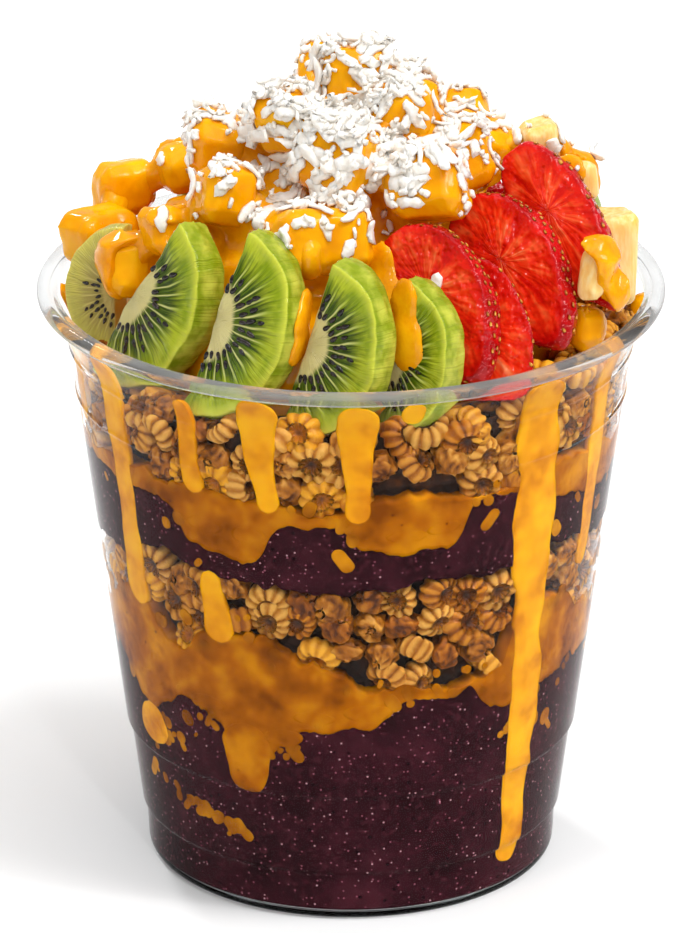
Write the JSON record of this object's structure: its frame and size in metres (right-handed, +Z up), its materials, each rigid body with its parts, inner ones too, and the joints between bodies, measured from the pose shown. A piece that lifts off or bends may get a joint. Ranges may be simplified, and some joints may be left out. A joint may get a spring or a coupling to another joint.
{
  "type": "acai bowl",
  "caption": "Tall clear plastic cup layered with acai, mango sauce and granola, heaped with mango, kiwi, strawberry and coconut flakes.",
  "frame": {"origin": "on the ground, in the middle of the cup's box; the cup's axis is the Z axis", "axes": "+Z up along the cup's axis, -Y towards the side with the fan of kiwi slices, +X towards the strawberry slices' side"},
  "size_m": [0.117, 0.1166, 0.1581],
  "materials": {
    "clear_plastic": "gloss",
    "acai": "satin",
    "mango_sauce": "gloss",
    "granola": "matte",
    "kiwi": "gloss",
    "strawberry": "gloss",
    "mango": "gloss",
    "pineapple": "satin"
  },
  "bodies": {
    "root": {"cup": "clear_plastic", "acai_lower": "acai", "mango_sauce_lower": "mango_sauce", "granola_lower": "granola", "acai_upper": "acai", "mango_sauce_upper": "mango_sauce", "granola_upper": "granola", "mango_heap": "mango_sauce", "kiwi_1": "kiwi", "kiwi_2": "kiwi", "kiwi_3": "kiwi", "kiwi_4": "kiwi", "kiwi_5": "kiwi", "kiwi_6": "kiwi", "kiwi_7": "kiwi", "kiwi_8": "kiwi", "kiwi_9": "kiwi", "strawberry_1": "strawberry", "strawberry_2": "strawberry", "strawberry_3": "strawberry", "strawberry_4": "strawberry", "strawberry_5": "strawberry", "strawberry_6": "strawberry", "strawberry_7": "strawberry", "pineapple_1": "pineapple", "pineapple_2": "pineapple", "pineapple_3": "pineapple", "pineapple_4": "pineapple", "pineapple_5": "pineapple", "mango_01": "mango", "mango_02": "mango", "mango_03": "mango", "mango_04": "mango", "mango_05": "mango", "mango_06": "mango", "mango_07": "mango", "mango_08": "mango", "mango_09": "mango", "mango_10": "mango", "mango_11": "mango", "mango_12": "mango", "mango_13": "mango", "mango_14": "mango", "mango_15": "mango", "mango_16": "mango", "mango_17": "mango", "mango_18": "mango", "mango_19": "mango", "mango_20": "mango", "mango_21": "mango", "mango_22": "mango", "mango_23": "mango"}
  },
  "joints": []
}
